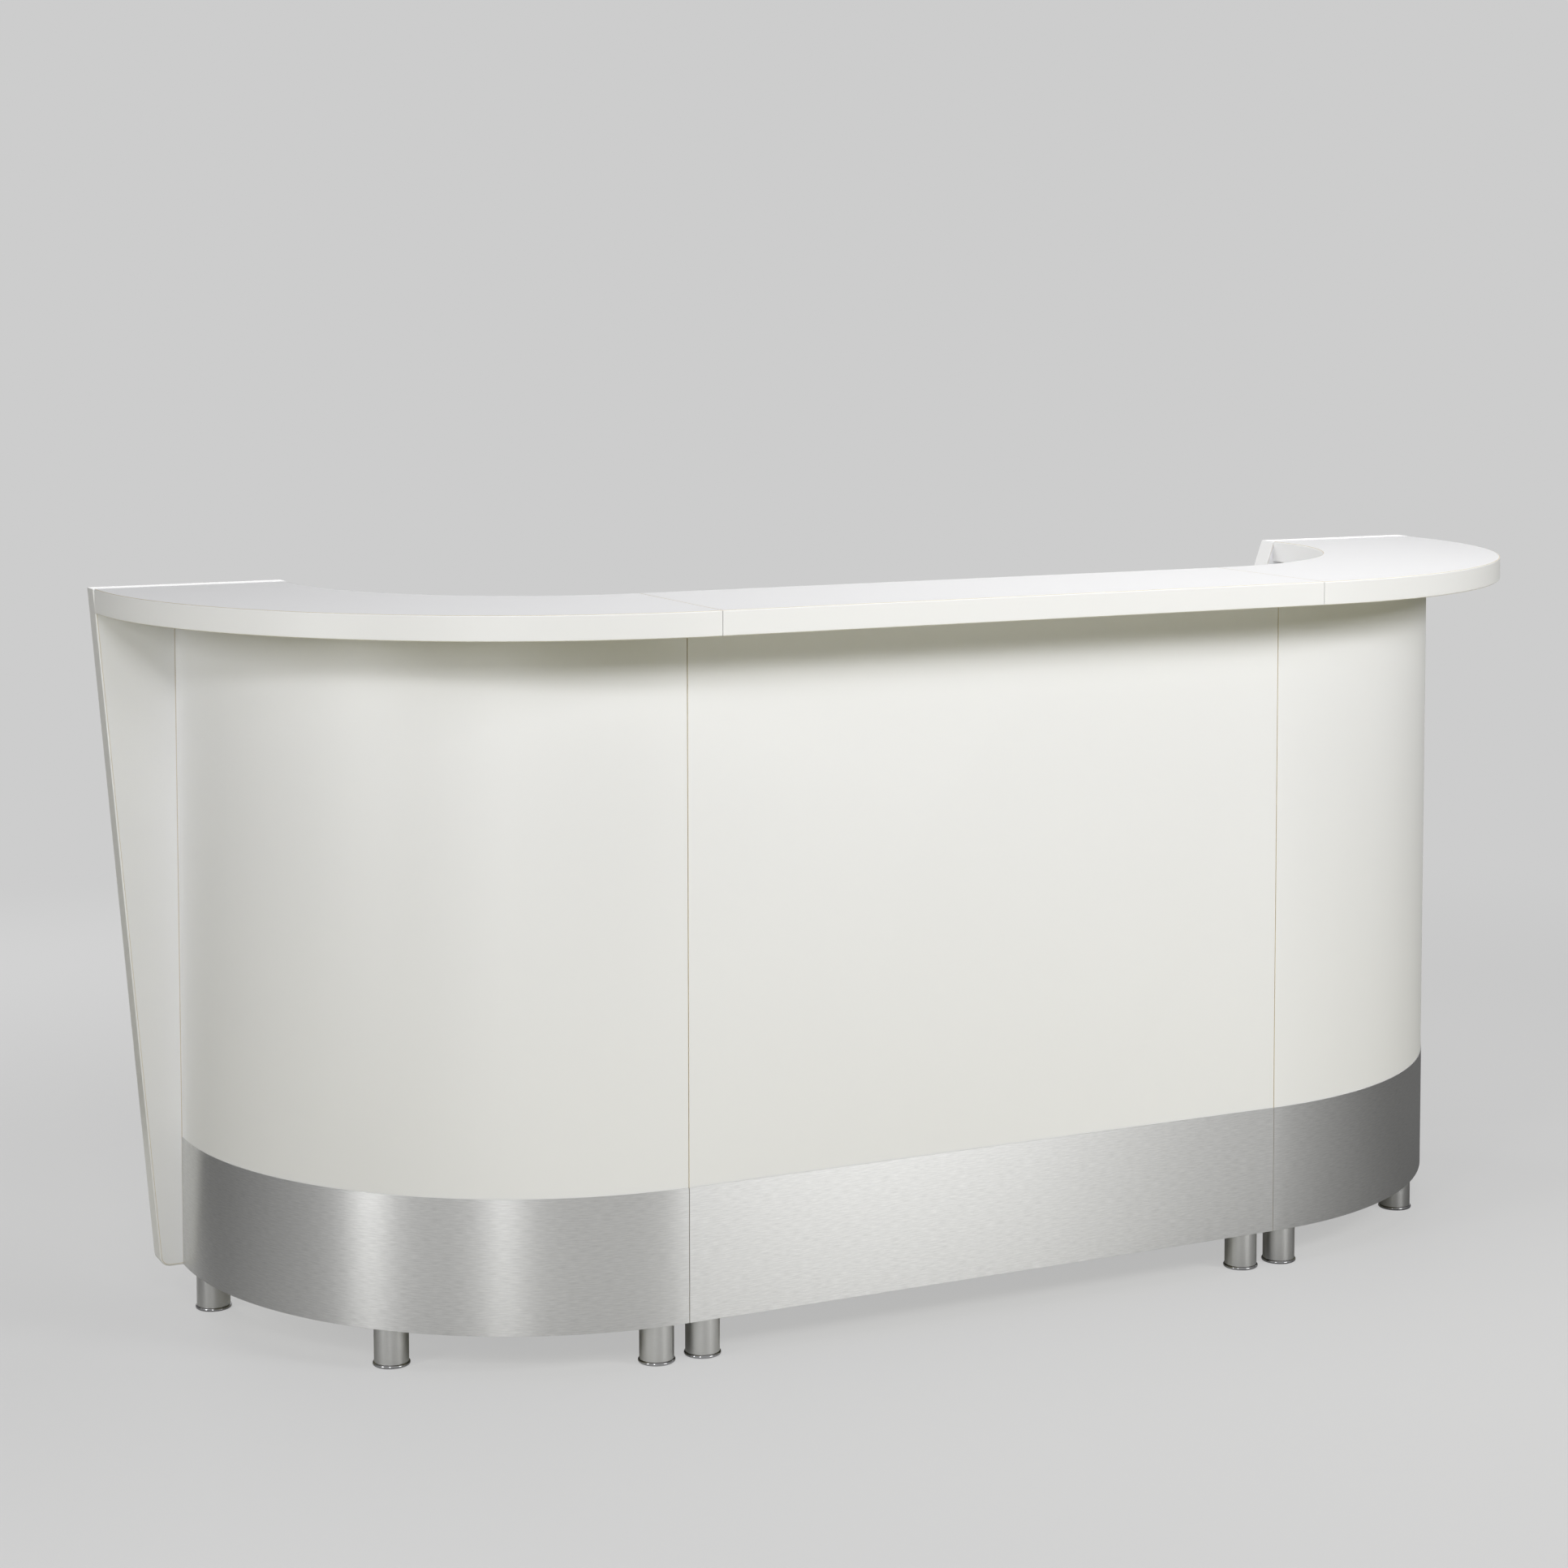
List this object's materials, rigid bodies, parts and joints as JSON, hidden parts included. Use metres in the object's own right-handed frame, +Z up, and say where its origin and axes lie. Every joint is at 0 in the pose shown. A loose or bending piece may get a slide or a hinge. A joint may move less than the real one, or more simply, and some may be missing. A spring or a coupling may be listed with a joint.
{
  "type": "bar counter",
  "caption": "Modular bar counter: straight middle between quarter-round corners, white laminate top and front, brushed steel kick plates, tapered end gables, round levelling feet",
  "frame": {"origin": "on the floor under the centre of the counter's bounding box", "axes": "+Z up, customers stand on the -Y side, +X to the right as they face it, +Y to the bartender"},
  "size_m": [2.388, 0.748, 1.09],
  "materials": {
    "white_laminate": "matt white high-pressure laminate on board",
    "white_board": "white melamine-faced board",
    "white_edge_band": "white edge banding with rounded arrises",
    "brushed_stainless": "stainless sheet brushed along its length",
    "satin_stainless": "satin stainless tube",
    "polished_steel": "polished",
    "zinc_steel": "zinc plated",
    "black_nylon": "moulded nylon"
  },
  "bodies": {
    "counter": {"base_panel_centre": "white_board", "base_panel_left": "white_board", "base_panel_right": "white_board", "bracket_screws": "zinc_steel", "centre_side_panel_left": "white_board", "centre_side_panel_right": "white_board", "connector_bolts": "zinc_steel", "connector_sleeves": "zinc_steel", "corner_side_panel_left": "white_board", "corner_side_panel_right": "white_board", "end_gable_left": "white_laminate", "end_gable_right": "white_laminate", "foot_plugs": "black_nylon", "foot_tube_bend_left": "satin_stainless", "foot_tube_bend_right": "satin_stainless", "foot_tube_centre_back_left": "satin_stainless", "foot_tube_centre_back_right": "satin_stainless", "foot_tube_centre_front_left": "satin_stainless", "foot_tube_centre_front_right": "satin_stainless", "foot_tube_end_left": "satin_stainless", "foot_tube_end_right": "satin_stainless", "foot_tube_inner_left": "satin_stainless", "foot_tube_inner_right": "satin_stainless", "foot_tube_seam_left": "satin_stainless", "foot_tube_seam_right": "satin_stainless", "front_panel_centre": "white_laminate", "front_panel_left": "white_laminate", "front_panel_right": "white_laminate", "gable_edge_band_left": "white_edge_band", "gable_edge_band_right": "white_edge_band", "insert_nuts": "zinc_steel", "kick_plate_centre": "brushed_stainless", "kick_plate_left": "brushed_stainless", "kick_plate_right": "brushed_stainless", "lower_shelf_centre": "white_board", "lower_shelf_left": "white_board", "lower_shelf_right": "white_board", "shelf_pins": "zinc_steel", "upper_shelf_centre": "white_board", "upper_shelf_left": "white_board", "upper_shelf_right": "white_board", "worktop_brackets": "zinc_steel", "worktop_centre": "white_laminate", "worktop_edge_band_centre": "white_edge_band", "worktop_edge_band_left": "white_edge_band", "worktop_edge_band_right": "white_edge_band", "worktop_left": "white_laminate", "worktop_right": "white_laminate"},
    "glide_bend_left_foot": {"glide_bend_left": "polished_steel"},
    "glide_bend_right_foot": {"glide_bend_right": "polished_steel"},
    "glide_centre_back_left_foot": {"glide_centre_back_left": "polished_steel"},
    "glide_centre_back_right_foot": {"glide_centre_back_right": "polished_steel"},
    "glide_centre_front_left_foot": {"glide_centre_front_left": "polished_steel"},
    "glide_centre_front_right_foot": {"glide_centre_front_right": "polished_steel"},
    "glide_end_left_foot": {"glide_end_left": "polished_steel"},
    "glide_end_right_foot": {"glide_end_right": "polished_steel"},
    "glide_inner_left_foot": {"glide_inner_left": "polished_steel"},
    "glide_inner_right_foot": {"glide_inner_right": "polished_steel"},
    "glide_seam_left_foot": {"glide_seam_left": "polished_steel"},
    "glide_seam_right_foot": {"glide_seam_right": "polished_steel"}
  },
  "joints": [
    {"name": "glide_bend_left_travel", "type": "slide", "parent": "counter", "child": "glide_bend_left_foot", "axis": [0, 0, -1], "range_m": [0, 0.015]},
    {"name": "glide_bend_right_travel", "type": "slide", "parent": "counter", "child": "glide_bend_right_foot", "axis": [0, 0, -1], "range_m": [0, 0.015]},
    {"name": "glide_centre_back_left_travel", "type": "slide", "parent": "counter", "child": "glide_centre_back_left_foot", "axis": [0, 0, -1], "range_m": [0, 0.015]},
    {"name": "glide_centre_back_right_travel", "type": "slide", "parent": "counter", "child": "glide_centre_back_right_foot", "axis": [0, 0, -1], "range_m": [0, 0.015]},
    {"name": "glide_centre_front_left_travel", "type": "slide", "parent": "counter", "child": "glide_centre_front_left_foot", "axis": [0, 0, -1], "range_m": [0, 0.015]},
    {"name": "glide_centre_front_right_travel", "type": "slide", "parent": "counter", "child": "glide_centre_front_right_foot", "axis": [0, 0, -1], "range_m": [0, 0.015]},
    {"name": "glide_end_left_travel", "type": "slide", "parent": "counter", "child": "glide_end_left_foot", "axis": [0, 0, -1], "range_m": [0, 0.015]},
    {"name": "glide_end_right_travel", "type": "slide", "parent": "counter", "child": "glide_end_right_foot", "axis": [0, 0, -1], "range_m": [0, 0.015]},
    {"name": "glide_inner_left_travel", "type": "slide", "parent": "counter", "child": "glide_inner_left_foot", "axis": [0, 0, -1], "range_m": [0, 0.015]},
    {"name": "glide_inner_right_travel", "type": "slide", "parent": "counter", "child": "glide_inner_right_foot", "axis": [0, 0, -1], "range_m": [0, 0.015]},
    {"name": "glide_seam_left_travel", "type": "slide", "parent": "counter", "child": "glide_seam_left_foot", "axis": [0, 0, -1], "range_m": [0, 0.015]},
    {"name": "glide_seam_right_travel", "type": "slide", "parent": "counter", "child": "glide_seam_right_foot", "axis": [0, 0, -1], "range_m": [0, 0.015]}
  ]
}
